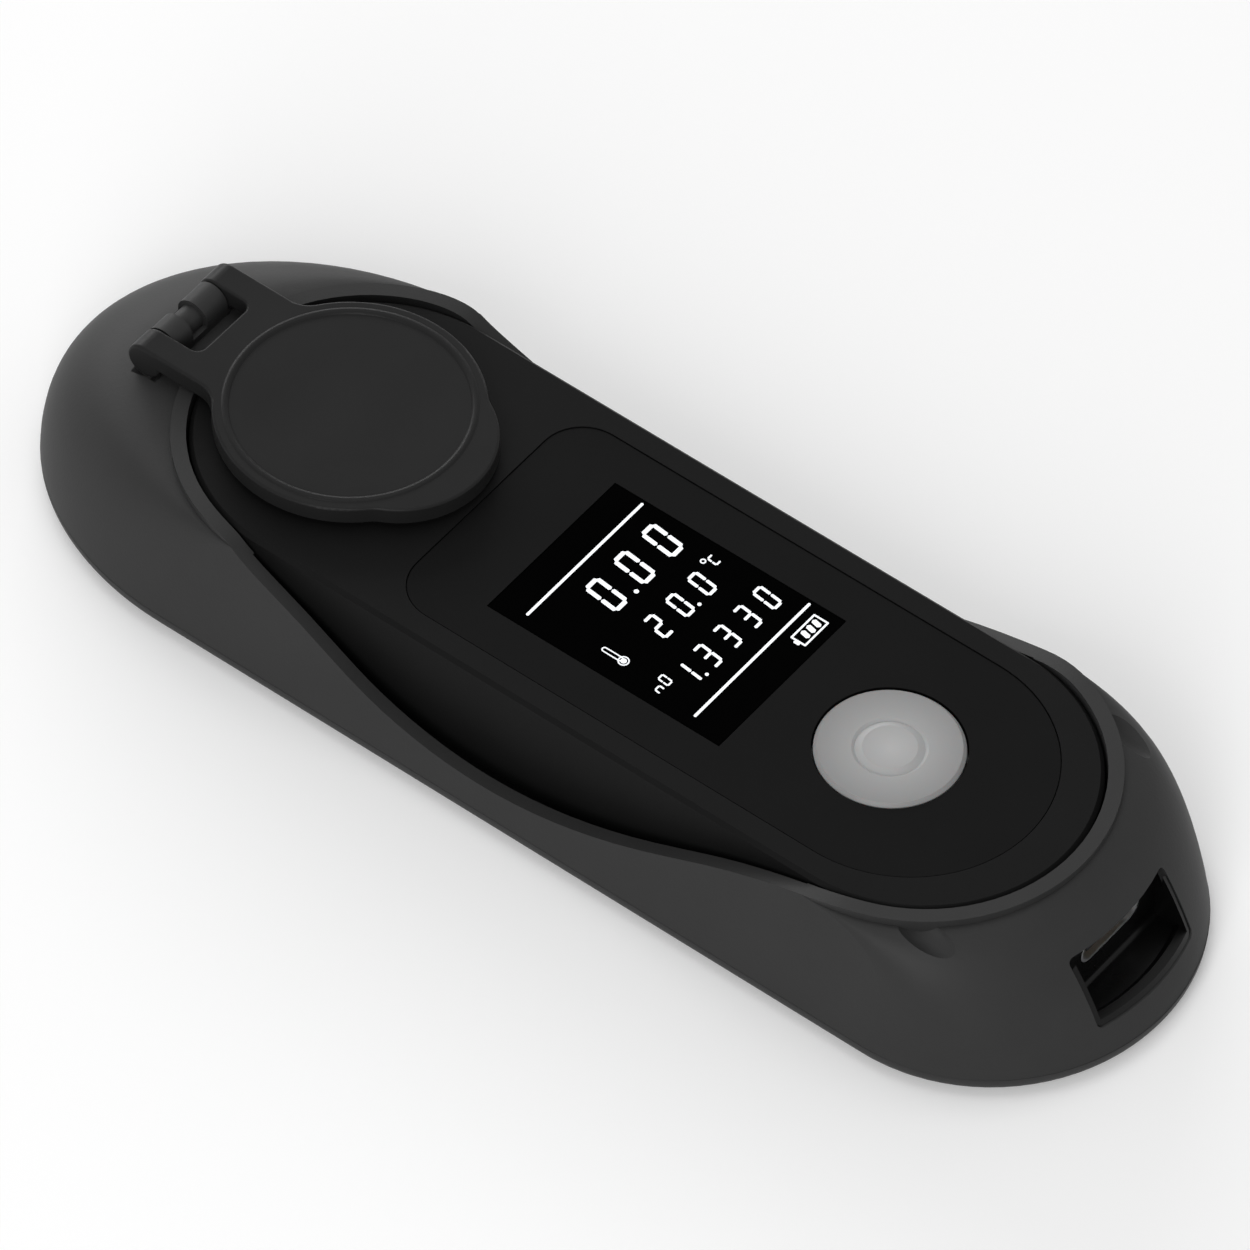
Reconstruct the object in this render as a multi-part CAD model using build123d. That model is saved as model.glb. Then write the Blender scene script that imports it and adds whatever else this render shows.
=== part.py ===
from build123d import *
import math
import os

# Pocket digital refractometer, millimetres, +Z up.
# Origin: centre of the base, on the surface that it rests on. +Y runs from the charging inlet to the lid.

# Driving dimensions
face_height = 16.5
case_half_width = 17.0
screen_width = 19.4
screen_length = 27.3
button_radius = 7.15
collar_radius = 11.3
wall = 1.5
skin = 1.4
plate = 1.8
fit = 0.1

# Levels and widths that follow from them
floor_level = skin + wall
plate_under = face_height - plate
inner_half_width = case_half_width - wall
well_flange_radius = collar_radius + 1.1

# Places along the body, from the screen's centre outwards
screen_to_button_gap = 5.4
screen_to_collar_gap = 12.85
button_to_arc = 3.65
well_end_gap = 0.8
near_flare = 11.85
far_flare = 18.5
screen_to_button = screen_length / 2 + screen_to_button_gap + button_radius
screen_to_well = screen_length / 2 + screen_to_collar_gap + collar_radius
well_to_arc = inner_half_width - well_flange_radius - well_end_gap
near_reach = screen_to_button + button_to_arc + case_half_width + near_flare
far_reach = screen_to_well - well_to_arc + case_half_width + far_flare
body_length = near_reach + far_reach
near_tip = -body_length / 2
far_tip = body_length / 2
screen_y = near_tip + near_reach
button_y = screen_y - screen_to_button
well_y = screen_y + screen_to_well
near_arc_y = button_y - button_to_arc
far_arc_y = well_y - well_to_arc
near_case_end = near_arc_y - case_half_width
far_case_end = far_arc_y + case_half_width
inlet_depth = 6.7
inlet_y = near_tip + inlet_depth
hinge_gap = 5.0
hinge_y = far_case_end + hinge_gap

# Outer shell: rim round the case, sides flared down to the base
rim_gap = 0.3
rim_width = 1.5
side_flare = 1.85
rim_half_width = case_half_width + rim_gap + rim_width
base_half_width = rim_half_width + side_flare
rim_rise = 0.3
rim_level = face_height + rim_rise
shoulder_drop = 0.5
shoulder_level = face_height - shoulder_drop
base_round = 2.2
near_base_depth = base_half_width - 0.85
far_base_depth = base_half_width + 5.55
near_flattening = 5.3
dent_x = rim_half_width - 3.1
dent_y = near_arc_y - 12.4
dent_level = face_height - 0.05
dent_half_width = 1.7
dent_half_length = 4.4
dent_half_height = 1.4
dent_tilt = 12
thick_depth = 4.6
thick_level = face_height - thick_depth
dip_depth = 10.8

# Case halves
lip_height = 1.0
split_level = floor_level + lip_height
face_chamfer = 0.4
tray_inset = skin + 0.05
gasket_depth = 0.55
gasket_margin = 0.4
side_opening_near = near_case_end + 8.0
side_opening_far = far_case_end - 9.4

# Measuring head
collar_rise = 0.5
collar_top = face_height + collar_rise
land_width = 1.0
dish_bevel = 1.4
well_depth = 3.6
well_under = face_height - well_depth
dish_floor_radius = 5.6
prism_half = 3.8
prism_drop = 2.0
prism_top = face_height - prism_drop
prism_seal_width = 0.4
ray_angle = 35.0
block_disc_radius = well_flange_radius - 0.2
block_disc_thickness = 1.2
block_disc_under = well_under - block_disc_thickness
block_half_width = 5.8
block_half_length = 10.4
block_knee = face_height - 6.5
block_under = floor_level + 1.0
bore_radius = 1.6
optics_screw_radius = 0.7
optics_screw_offset = 7.35
head_board_width = 11.0
head_board_thickness = 0.8
flex_gap = 0.3
flex_bottom = floor_level + flex_gap
flex_thickness = 0.2
flex_top = flex_bottom + flex_thickness
flex_half_width = 2.5
thermistor_x = 9.0
thermistor_radius = 1.0

# Screws: x and y of one of each mirrored pair
case_screw_radius = 1.0
case_boss_radius = 2.1
case_screw_reach = 5.5
screw_recess = 0.9
screw_head_height = 0.8
board_far = well_y - block_disc_radius - 3.45
near_screw_angle = 40.4
near_screw_radius = inner_half_width - 0.85
near_screw_x = near_screw_radius * math.sin(math.radians(near_screw_angle))
near_screw_y = near_arc_y - near_screw_radius * math.cos(math.radians(near_screw_angle))
far_screw_x = inner_half_width - 2.5
far_screw_y = board_far + case_boss_radius + 0.25
case_screw_places = [(near_screw_x, near_screw_y), (far_screw_x, far_screw_y)]

# Board, hung from the upper case
board_thickness = 1.0
board_drop = 8.35
board_top = face_height - board_drop
board_under = board_top - board_thickness
board_half_width = inner_half_width - 0.7
board_edge_gap = 0.55
board_near = near_screw_y + case_boss_radius + board_edge_gap
tongue_half_width = near_screw_x - case_boss_radius - 1.4
tongue_end = inlet_y + 1.15
chip_half = 3.0
chip_height = 0.9
chip_y = board_near + 4.3
board_screw_radius = 0.8
board_boss_radius = 1.8
board_screw_reach = 3.2
board_screw_x = inner_half_width - 3.2
board_screw_places = [(board_screw_x, chip_y + 2.2), (board_screw_x, board_far - 3.0)]

# Battery under the board
battery_near = chip_y + chip_half + 1.7
battery_far = board_far - 14.0
battery_half_width = inner_half_width - 3.5
pad_thickness = 0.2
battery_bottom = floor_level + pad_thickness
battery_gap = 0.75
battery_top = board_under - battery_gap
lead_radius = 0.4
connector_near = battery_far + 6.0
connector_length = 4.0
connector_room = 0.6

# Charging inlet and the niche in front of it
socket_width = 8.94
socket_height = 3.16
socket_sheet = 0.3
socket_length = 7.3
socket_room = 0.08
socket_axis = board_top + socket_height / 2
blade_width = 6.7
blade_thickness = 0.7
niche_half_width = 7.0
niche_floor = floor_level + 2.4
mouth_depth = 0.9
mouth_inset = 0.15
mouth_half_width = niche_half_width - 0.3
mouth_floor = niche_floor + 0.65
mouth_edge = 0.5
mouth_edge_below = 0.6
mouth_slope = 0.9
window_gap = 0.1
window_corner = 0.6
window_half_width = mouth_half_width + mouth_edge + window_gap
window_floor = mouth_floor - mouth_edge_below - window_gap
window_top = thick_level + 0.4

# Front foil, pane and display
foil_half_width = case_half_width - 2.8
foil_thickness = 0.42
foil_recess = 0.5
foil_margin = 0.12
foil_arc_y = near_arc_y + 1.65
foil_far = screen_y + screen_length / 2 + 8.35
foil_corner = 4.5
pane_fit = 0.05
pane_ledge = 0.4
panel_half_x = screen_width / 2 + 1.3
panel_half_y = screen_length / 2 + 1.35
panel_seat = 0.7
panel_top = plate_under + panel_seat
panel_thickness = 1.8
panel_under = panel_top - panel_thickness
backlight_half_y = panel_half_y - 2.3
backlight_thickness = 2.4
backlight_under = panel_under - backlight_thickness
strip_thickness = 1.4
strip_half_length = 9.0
frame_wall = 0.95
frame_shelf = 1.0

# Button and its switch
button_hole_radius = button_radius + 0.2
button_rise = 0.14
button_top = face_height + button_rise
button_bevel = 0.35
button_travel = 0.5
flange_radius = button_hole_radius + 1.05
flange_thickness = 1.0
flange_bottom = plate_under - fit - flange_thickness
switch_half = 3.0
switch_height = 3.2
switch_top = board_top + switch_height
plunger_radius = 1.6
plunger_rise = 0.95
plunger_top = switch_top + plunger_rise
plunger_length = 1.6

# Lid and hinge
lid_radius = collar_radius + 1.8
lid_under = face_height + 0.7
lid_thickness = 1.9
lid_top = lid_under + lid_thickness
bead_radius = lid_radius - 1.22
bead_section = 0.5
bead_sink = 0.35
tab_reach = lid_radius + 2.3
tab_radius = 9.5
arm_outer = 6.8
arm_inner = 3.9
slot_depth = 4.5
slot_front = hinge_y - slot_depth
hinge_level = lid_under
ear_radius = lid_top - hinge_level
ear_room = 0.35
barrel_radius = ear_radius - 0.1
barrel_half_length = arm_inner - 0.15
barrel_groove = (-1.4, 0.7)
barrel_groove_depth = 0.5
pin_radius = 0.75
pin_half_length = arm_outer - 0.8
lid_edge_round = 0.3
seal_outer = collar_radius - 0.1
seal_inner = seal_outer - 0.8
seal_seat = 0.4


def capsule(half_width, near_end, near_depth, far_end, far_depth, level):
    """Face with straight sides and a half ellipse at each end."""
    near_y = near_end + near_depth
    far_y = far_end - far_depth
    right = Line((half_width, near_y), (half_width, far_y))
    left = Line((-half_width, far_y), (-half_width, near_y))
    far_arc = EllipticalCenterArc((0, far_y), half_width, far_depth, start_angle=0, arc_size=180)
    near_arc = EllipticalCenterArc((0, near_y), half_width, near_depth, start_angle=180, arc_size=180)
    return Pos(0, 0, level) * make_face([right, far_arc, left, near_arc])


def case_outline(half_width, level):
    """Stadium around the two arc centres of the case."""
    return capsule(half_width, near_arc_y - half_width, half_width, far_arc_y + half_width, half_width, level)


def case_prism(half_width, bottom, top):
    return extrude(case_outline(half_width, bottom), top - bottom)


def half_width_at(level):
    depth = (shoulder_level - level) / (shoulder_level - base_round)
    return rim_half_width + side_flare * min(max(depth, 0.0), 1.0)


def body_outline(level, inset):
    """Outline of the flared body at a level: rim outline at the shoulder, longest at the base."""
    depth = min(max((shoulder_level - level) / (shoulder_level - base_round), 0.0), 1.0)
    near_share = (1 - (1 - depth) ** 1.12) ** (1 / 1.6)
    far_share = (1 - (1 - depth) ** 2.2) ** (1 / 2.2)
    bulge = depth ** 0.47
    flatness = 4 * bulge * (1 - bulge)
    half_width = half_width_at(level)
    near_rim = near_arc_y - rim_half_width
    far_rim = far_arc_y + rim_half_width
    near_end = near_rim + (near_tip - near_rim) * near_share
    far_end = far_rim + (far_tip - far_rim) * far_share
    near_depth = rim_half_width + (near_base_depth - rim_half_width) * near_share - near_flattening * flatness
    far_depth = rim_half_width + (far_base_depth - rim_half_width) * far_share
    return capsule(half_width - inset, near_end + inset, near_depth - inset, far_end - inset,
                   far_depth - inset, level)


def body_block(bottom, top, inset, steps):
    """Solid between two levels of the flared body, closer sections near the top."""
    levels = [top - (top - bottom) * (step / steps) ** 1.6 for step in range(steps + 1)]
    return loft([body_outline(level, inset) for level in reversed(levels)])


def box_between(low, high):
    size = [high[i] - low[i] for i in range(3)]
    centre = [(high[i] + low[i]) / 2 for i in range(3)]
    return Pos(*centre) * Box(*size)


def rod_x(radius, x_low, x_high, y, z):
    return Pos((x_low + x_high) / 2, y, z) * Rot(0, 90, 0) * Cylinder(radius, x_high - x_low)


def rod_z(radius, bottom, top, x, y):
    return Pos(x, y, (bottom + top) / 2) * Cylinder(radius, top - bottom)


def mirrored(places):
    return [(side * x, y) for x, y in places for side in (-1, 1)]


def rim_dip():
    """Cutter whose lower edge is the smooth saddle line of the rim along both sides."""
    top = rim_level
    low = face_height - dip_depth
    drop = top - low
    points = [
        (near_arc_y - 6.0, top),
        (near_arc_y + 1.0, top - 0.1 * drop),
        (near_arc_y + 8.35, top - 0.31 * drop),
        (near_arc_y + 17.85, top - 0.66 * drop),
        (screen_y + 6.5, low),
        (far_arc_y - 15.0, top - 0.77 * drop),
        (far_arc_y - 6.5, top - 0.42 * drop),
        (far_arc_y + 0.5, top - 0.135 * drop),
        (far_arc_y + 7.5, top),
    ]
    saddle = Spline(*points, tangents=[(1, 0), (1, 0)])
    lid_line = top + 5
    sides = Polyline(points[-1], (points[-1][0], lid_line), (points[0][0], lid_line), points[0])
    face = Plane.YZ * make_face([saddle, sides])
    return extrude(face, base_half_width + 5, both=True)


def hinge_barrel():
    """Knuckle on the far end of the shell, with a shallow groove round its middle."""
    barrel = rod_x(barrel_radius, -barrel_half_length, barrel_half_length, hinge_y, hinge_level)
    foot = box_between((-barrel_half_length, hinge_y - barrel_radius, thick_level + 1.0),
                       (barrel_half_length, hinge_y + barrel_radius, hinge_level))
    groove = rod_x(ear_radius + 1, *barrel_groove, hinge_y, hinge_level)
    groove -= rod_x(barrel_radius - barrel_groove_depth, *barrel_groove, hinge_y, hinge_level)
    reach = ear_radius + 2
    groove &= box_between((-reach, hinge_y - reach, hinge_level - 0.4),
                          (reach, hinge_y + reach, hinge_level + reach))
    return barrel + foot - groove


def side_hollow():
    """Room beside the case between the two arcs: leaves the flared sides one skin thick up to the rim."""
    low = half_width_at(thick_level) - skin
    high = half_width_at(shoulder_level) - skin
    face = Plane.XZ * make_face(Polyline(
        (-low, thick_level), (low, thick_level), (high, shoulder_level), (high, rim_level + 1),
        (-high, rim_level + 1), (-high, shoulder_level), close=True))
    return Pos(0, far_arc_y, 0) * extrude(face, far_arc_y - near_arc_y)


def near_dent():
    """Long hollow under the rim at the inlet end, its outer end tipped down."""
    return Rot(dent_tilt, 0, 0) * scale(Sphere(1.0), by=(dent_half_width, dent_half_length, dent_half_height))


def outer_shell():
    slab_height = base_round + 0.2
    slab = extrude(body_outline(0, 0), slab_height)
    slab = fillet(slab.edges().group_by(Axis.Z)[0], base_round)
    body = slab + body_block(slab_height, shoulder_level, 0, 6)
    for side in (-1, 1):
        body -= Pos(side * dent_x, dent_y, dent_level) * near_dent()
    body += case_prism(rim_half_width, thick_level, rim_level)
    body -= body_block(skin, thick_level, skin, 4)
    body -= side_hollow()
    body -= case_prism(case_half_width + rim_gap, thick_level - 0.5, rim_level + 1)
    body -= rim_dip()
    body += hinge_barrel()
    for side in (-1, 1):
        low, high = sorted((side * barrel_half_length, side * (arm_outer + ear_room)))
        body -= rod_x(ear_radius + ear_room, low, high, hinge_y, hinge_level)
    body -= rod_x(pin_radius, -barrel_half_length, barrel_half_length, hinge_y, hinge_level)
    window = box_between((-window_half_width, near_tip - 5, window_floor),
                         (window_half_width, inlet_y + wall, window_top))
    window = fillet(window.edges().filter_by(Axis.Y), window_corner)
    return body - window


def foil_outline(grow):
    """Front foil: half circle round the button end, rounded corners at the lid end."""
    half_width = foil_half_width + grow
    far = foil_far + grow
    corner = foil_corner + grow
    length = far - foil_arc_y
    straight = Pos(0, foil_arc_y + length / 2) * Rectangle(2 * half_width, length)
    straight = fillet(straight.vertices().group_by(Axis.Y)[-1], corner)
    return straight + Pos(0, foil_arc_y) * Circle(half_width)


def screen_block(grow_x, grow_y, bottom, top):
    """Block over the screen, grown on each side."""
    half_x = screen_width / 2 + grow_x
    half_y = screen_length / 2 + grow_y
    return box_between((-half_x, screen_y - half_y, bottom), (half_x, screen_y + half_y, top))


def upper_case():
    body = case_prism(case_half_width, split_level, face_height)
    body = chamfer(body.edges().group_by(Axis.Z)[-1], face_chamfer)
    body -= case_prism(inner_half_width, split_level, plate_under)
    for x, y in mirrored(case_screw_places):
        boss = rod_z(case_boss_radius, floor_level, plate_under, x, y)
        body += boss & case_prism(case_half_width, split_level, plate_under)
        body += boss & case_prism(inner_half_width - fit, floor_level, split_level)
        body -= rod_z(case_screw_radius, floor_level, floor_level + case_screw_reach, x, y)
    for x, y in mirrored(board_screw_places):
        body += rod_z(board_boss_radius, board_top, plate_under, x, y)
        body -= rod_z(board_screw_radius, board_top, board_top + board_screw_reach, x, y)
    body -= Pos(0, 0, face_height - foil_recess) * extrude(foil_outline(foil_margin), foil_recess + 1)
    body -= screen_block(-pane_ledge, -pane_ledge, plate_under, face_height)
    body -= screen_block(panel_half_x - screen_width / 2 + fit, panel_half_y - screen_length / 2 + fit,
                         plate_under, panel_top)
    body -= rod_z(button_hole_radius, plate_under, face_height, 0, button_y)
    body -= rod_z(collar_radius + fit, plate_under, face_height, 0, well_y)
    notch_half = tongue_half_width + 0.3
    body -= box_between((-notch_half, near_case_end - 1, split_level),
                        (notch_half, near_arc_y - inner_half_width + 2, board_top + socket_height + 0.4))
    return body


def end_pocket(low_y, high_y):
    """Hollow of the tray's end, between its skin and the wall round the case."""
    pocket = body_block(floor_level, thick_level, tray_inset + wall, 3)
    pocket -= case_prism(case_half_width + fit + wall, floor_level - 1, thick_level + 1)
    return pocket & box_between((-base_half_width, low_y, 0), (base_half_width, high_y, face_height))


def gasket_ring(bottom):
    ring = case_prism(case_half_width - gasket_margin, bottom, split_level)
    return ring - case_prism(inner_half_width + gasket_margin, bottom, split_level)


def niche_mouth():
    """Tray's edge round the niche: stands in the shell's window, nearly flush with its outside."""
    half_width = mouth_half_width + mouth_edge
    bottom = mouth_floor - mouth_edge_below
    opening = box_between((-half_width, near_tip, bottom), (half_width, inlet_y - mouth_depth, thick_level))
    opening = fillet(opening.edges().filter_by(Axis.Y).group_by(Axis.Z)[0], window_corner - window_gap)
    return body_block(bottom, thick_level, mouth_inset, 3) & opening


def niche():
    """Room for a plug in front of the socket, wider and deeper behind the mouth."""
    inset = mouth_inset + mouth_depth
    room = loft([body_outline(niche_floor, inset + mouth_slope), body_outline(mouth_floor, inset)])
    room += body_block(mouth_floor, thick_level + 1, inset, 3)
    room &= box_between((-niche_half_width, near_tip, niche_floor), (niche_half_width, inlet_y, thick_level + 1))
    room = fillet(room.edges().filter_by(Axis.X).group_by(Axis.Z)[0].sort_by(Axis.Y)[-1:], 0.6)
    return room + box_between((-mouth_half_width, near_tip - 1, mouth_floor),
                              (mouth_half_width, inlet_y - mouth_depth, thick_level + 1))


def lower_case():
    """Tray: floor, low walls with the gasket groove, and two end blocks that fill the shell's flared ends."""
    body = body_block(skin, thick_level, tray_inset, 4)
    body -= case_prism(case_half_width + fit, split_level, thick_level + 1)
    body -= box_between((-base_half_width, side_opening_near, split_level),
                        (base_half_width, side_opening_far, thick_level + 1))
    body -= case_prism(inner_half_width, floor_level, split_level)
    body -= end_pocket(side_opening_far + wall, far_tip)
    inlet_block_half = niche_half_width + 1.3
    near_pocket = end_pocket(near_tip, side_opening_near - wall)
    body -= near_pocket - box_between((-inlet_block_half, near_tip, 0), (inlet_block_half, 0, face_height))
    body -= gasket_ring(split_level - gasket_depth)
    for x, y in mirrored(case_screw_places):
        body -= rod_z(case_screw_radius + 0.9, skin, skin + screw_recess, x, y)
        body -= rod_z(case_screw_radius + 0.05, skin, split_level, x, y)
    tunnel_half = tongue_half_width + 0.2
    body -= box_between((-tunnel_half, tongue_end - 0.3, board_under - fit),
                        (tunnel_half, near_case_end + 7.0, thick_level + 1))
    body -= Pos(0, inlet_y, socket_axis) * rounded_bar(socket_width + 2 * socket_room,
                                                       socket_height + 2 * socket_room, 3.0)
    return body + niche_mouth() - niche()


def case_gasket():
    return gasket_ring(split_level - gasket_depth)


def rounded_bar(width, height, length):
    """Bar along Y with nearly round sides, centred on its axis."""
    face = Plane.XZ * RectangleRounded(width, height, height / 2 - 0.01)
    return extrude(face, length / 2, both=True)


def socket_slice(width, height, front, back):
    """Rounded bar of the socket between two distances behind its mouth."""
    mouth = inlet_y + 0.05
    return Pos(0, mouth + (front + back) / 2, socket_axis) * rounded_bar(width, height, back - front)


def usb_socket():
    body = socket_slice(socket_width, socket_height, 0, socket_length)
    inner_width = socket_width - 2 * socket_sheet
    inner_height = socket_height - 2 * socket_sheet
    return body - socket_slice(inner_width, inner_height, -1.0, socket_length - socket_sheet)


def usb_tongue():
    inner_width = socket_width - 2 * socket_sheet
    inner_height = socket_height - 2 * socket_sheet
    back = socket_length - socket_sheet
    root = socket_slice(inner_width, inner_height, back - 2.0, back)
    blade_length = 4.6
    blade_y = inlet_y + 0.05 + back - 2.0 - blade_length / 2
    return root + Pos(0, blade_y, socket_axis) * Box(blade_width, blade_length + 0.4, blade_thickness)


def main_board():
    body = case_prism(board_half_width, board_under, board_top)
    body &= box_between((-board_half_width, board_near, 0), (board_half_width, board_far, face_height))
    body += box_between((-tongue_half_width, tongue_end, board_under),
                        (tongue_half_width, board_near + 1, board_top))
    for x, y in mirrored(board_screw_places):
        body -= rod_z(board_screw_radius + fit, board_under, board_top, x, y)
    return body


def screw(head_radius, shank_radius, seat, top, x, y):
    """Screw driven upwards: head under the seat level, cross slot in the head."""
    head_under = seat - screw_head_height
    body = rod_z(head_radius, head_under, seat, x, y) + rod_z(shank_radius, seat, top, x, y)
    slot = Pos(x, y, head_under) * (Box(head_radius * 1.2, 0.35, 0.6) + Box(0.35, head_radius * 1.2, 0.6))
    return body - slot


def case_screws():
    seat = skin + screw_recess
    top = floor_level + case_screw_reach
    return Compound([screw(case_screw_radius + 0.8, case_screw_radius, seat, top, x, y)
                     for x, y in mirrored(case_screw_places)])


def board_screws():
    top = board_top + board_screw_reach
    return Compound([screw(board_screw_radius + 0.7, board_screw_radius, board_under, top, x, y)
                     for x, y in mirrored(board_screw_places)])


def optics_screw_places():
    offset = optics_screw_offset
    return [(sx * offset, well_y + sy * offset) for sx in (-1, 1) for sy in (-1, 1)]


def optics_screws():
    top = prism_top - 0.4
    return Compound([screw(optics_screw_radius + 0.6, optics_screw_radius, block_disc_under, top, x, y)
                     for x, y in optics_screw_places()])


def front_membrane():
    body = Pos(0, 0, face_height - foil_recess) * extrude(foil_outline(0), foil_thickness)
    body -= rod_z(button_hole_radius, face_height - foil_recess, face_height, 0, button_y)
    return body - screen_block(pane_fit, pane_fit, face_height - foil_recess, face_height)


def display_window():
    bottom = face_height - foil_recess
    pane = screen_block(0, 0, bottom, bottom + foil_thickness)
    return chamfer(pane.edges().group_by(Axis.Z)[-1], 0.1)


def panel_block(grow, half_y, bottom, top):
    """Block as wide as the display panel and grown on each side."""
    half_x = panel_half_x + grow
    return box_between((-half_x, screen_y - half_y - grow, bottom), (half_x, screen_y + half_y + grow, top))


def display_panel():
    return panel_block(0, panel_half_y, panel_under, panel_top)


def backlight():
    return panel_block(-0.2, backlight_half_y + 0.2, backlight_under, panel_under)


def strip_blocks(grow, bottom, top):
    """One block across each end of the panel, past the backlight."""
    middle = (backlight_half_y + panel_half_y) / 2 + 0.05
    half_x = strip_half_length + grow
    half_y = strip_thickness / 2 + grow
    blocks = []
    for side in (-1, 1):
        y = screen_y + side * middle
        blocks.append(box_between((-half_x, y - half_y, bottom), (half_x, y + half_y, top)))
    return blocks


def contact_strips():
    return Compound(strip_blocks(0, board_top, panel_under))


def display_frame():
    """Holder on the board: walls round the panel, a shelf for the backlight and slots for the strips."""
    body = panel_block(pane_fit + frame_wall, panel_half_y, board_top, panel_under - 0.6)
    body -= panel_block(pane_fit, panel_half_y, backlight_under, panel_top)
    body -= panel_block(pane_fit, backlight_half_y, board_top, backlight_under - frame_shelf)
    for slot in strip_blocks(fit, board_top, panel_top):
        body -= slot
    return body


def revolved(points, x, y):
    """Closed outline of (radius, height) points turned about a vertical axis."""
    face = Plane.XZ * make_face(Polyline(*points, close=True))
    return Pos(x, y, 0) * revolve(face, Axis.Z)


def button():
    """Silicone key: bevelled cap, shallow dish, centre nub with a ring, flange and post underneath."""
    cap = revolved([
        (0, flange_bottom),
        (flange_radius, flange_bottom),
        (flange_radius, flange_bottom + flange_thickness),
        (button_radius, flange_bottom + flange_thickness),
        (button_radius, button_top - button_bevel),
        (button_radius - button_bevel, button_top),
        (3.6, button_top - 0.12),
        (3.3, button_top - 0.3),
        (2.6, button_top - 0.05),
        (0, button_top - 0.15),
    ], 0, button_y)
    return cap + rod_z(plunger_radius, plunger_top, flange_bottom, 0, button_y)


def tact_switch():
    body = box_between((-switch_half, button_y - switch_half, board_top),
                       (switch_half, button_y + switch_half, switch_top))
    well_floor = plunger_top - plunger_length - button_travel - 0.2
    return body - rod_z(plunger_radius + 0.05, well_floor, switch_top, 0, button_y)


def switch_plunger():
    return rod_z(plunger_radius, plunger_top - plunger_length, plunger_top, 0, button_y)


def controller_chip():
    return box_between((-chip_half, chip_y - chip_half, board_under - chip_height),
                       (chip_half, chip_y + chip_half, board_under))


def battery():
    cell = box_between((-battery_half_width, battery_near, battery_bottom),
                       (battery_half_width, battery_far, battery_top))
    return fillet(cell.edges().filter_by(Axis.Z), 1.2)


def battery_pad():
    margin = 3.0
    half_width = battery_half_width - 2.0
    return box_between((-half_width, battery_near + margin, floor_level),
                       (half_width, battery_far - margin, battery_bottom))


def battery_connector():
    half_width = 3.0
    return box_between((-half_width, connector_near, floor_level + connector_room),
                       (half_width, connector_near + connector_length, board_under))


def battery_leads():
    length = connector_near - battery_far
    level = (battery_bottom + battery_top) / 2
    middle = (battery_far + connector_near) / 2
    lead = Rot(90, 0, 0) * Cylinder(lead_radius, length)
    return Compound([Pos(x, middle, level) * lead for x in (-1.0, 1.0)])


def sample_well():
    """Steel dish with a raised collar, a flange under the plate and a square opening for the prism."""
    body = revolved([
        (0, well_under),
        (well_flange_radius, well_under),
        (well_flange_radius, plate_under),
        (collar_radius, plate_under),
        (collar_radius, collar_top - 0.2),
        (collar_radius - 0.2, collar_top),
        (collar_radius - land_width, collar_top),
        (collar_radius - 2.1, collar_top - dish_bevel),
        (dish_floor_radius, prism_top + 0.1),
        (0, prism_top + 0.1),
    ], 0, well_y)
    body -= prism_window(well_under, collar_top)
    body -= well_seal()
    for x, y in optics_screw_places():
        body -= rod_z(optics_screw_radius, well_under, prism_top - 0.3, x, y)
    return body


def prism_window(bottom, top):
    half = prism_half + prism_seal_width
    return box_between((-half, well_y - half, bottom), (half, well_y + half, top))


def well_seal():
    """Flat ring in the well's flange, pressed against the underside of the case's plate."""
    inner = collar_radius + 0.3
    bottom = plate_under - 0.4
    return rod_z(inner + 0.6, bottom, plate_under, 0, well_y) - rod_z(inner, bottom, plate_under, 0, well_y)


def ray_direction(side):
    angle = math.radians(ray_angle)
    return (side * math.cos(angle), -math.sin(angle))


def prism_outline(grow):
    """Section across the prism: flat top, straight neck, then two faces square to the light path."""
    run = 4.6 + grow
    slope_y = math.sin(math.radians(ray_angle)) * run
    slope_z = math.cos(math.radians(ray_angle)) * run
    half = prism_half + grow
    return [
        (well_y - half, prism_top),
        (well_y + half, prism_top),
        (well_y + half, well_under),
        (well_y + half - slope_y, well_under - slope_z),
        (well_y - half + slope_y, well_under - slope_z),
        (well_y - half, well_under),
    ]


def across(points, half_width):
    """Outline of (y, z) points drawn out to both sides of the centre plane."""
    face = Plane.YZ * make_face(Polyline(*points, close=True))
    return extrude(face, half_width, both=True)


def prism():
    return across(prism_outline(0), prism_half)


def prism_seal():
    return prism_window(well_under, prism_top) - across(prism_outline(0), prism_half)


def face_centre(side):
    """Middle of the block's slanted end face: offset from the well's axis, and level."""
    slope = math.tan(math.radians(ray_angle))
    drop = (block_knee - block_under) / 2
    return (side * (block_half_length - drop * slope), block_knee - drop)


def ray_frame(side, distance):
    """Location on the light path, its Z axis pointing out of the block, distance inwards from the face."""
    y, z = face_centre(side)
    dy, dz = ray_direction(side)
    origin = (0, well_y + y - dy * distance, z - dz * distance)
    return Plane(origin=origin, x_dir=(1, 0, 0), z_dir=(0, dy, dz)).location


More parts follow.
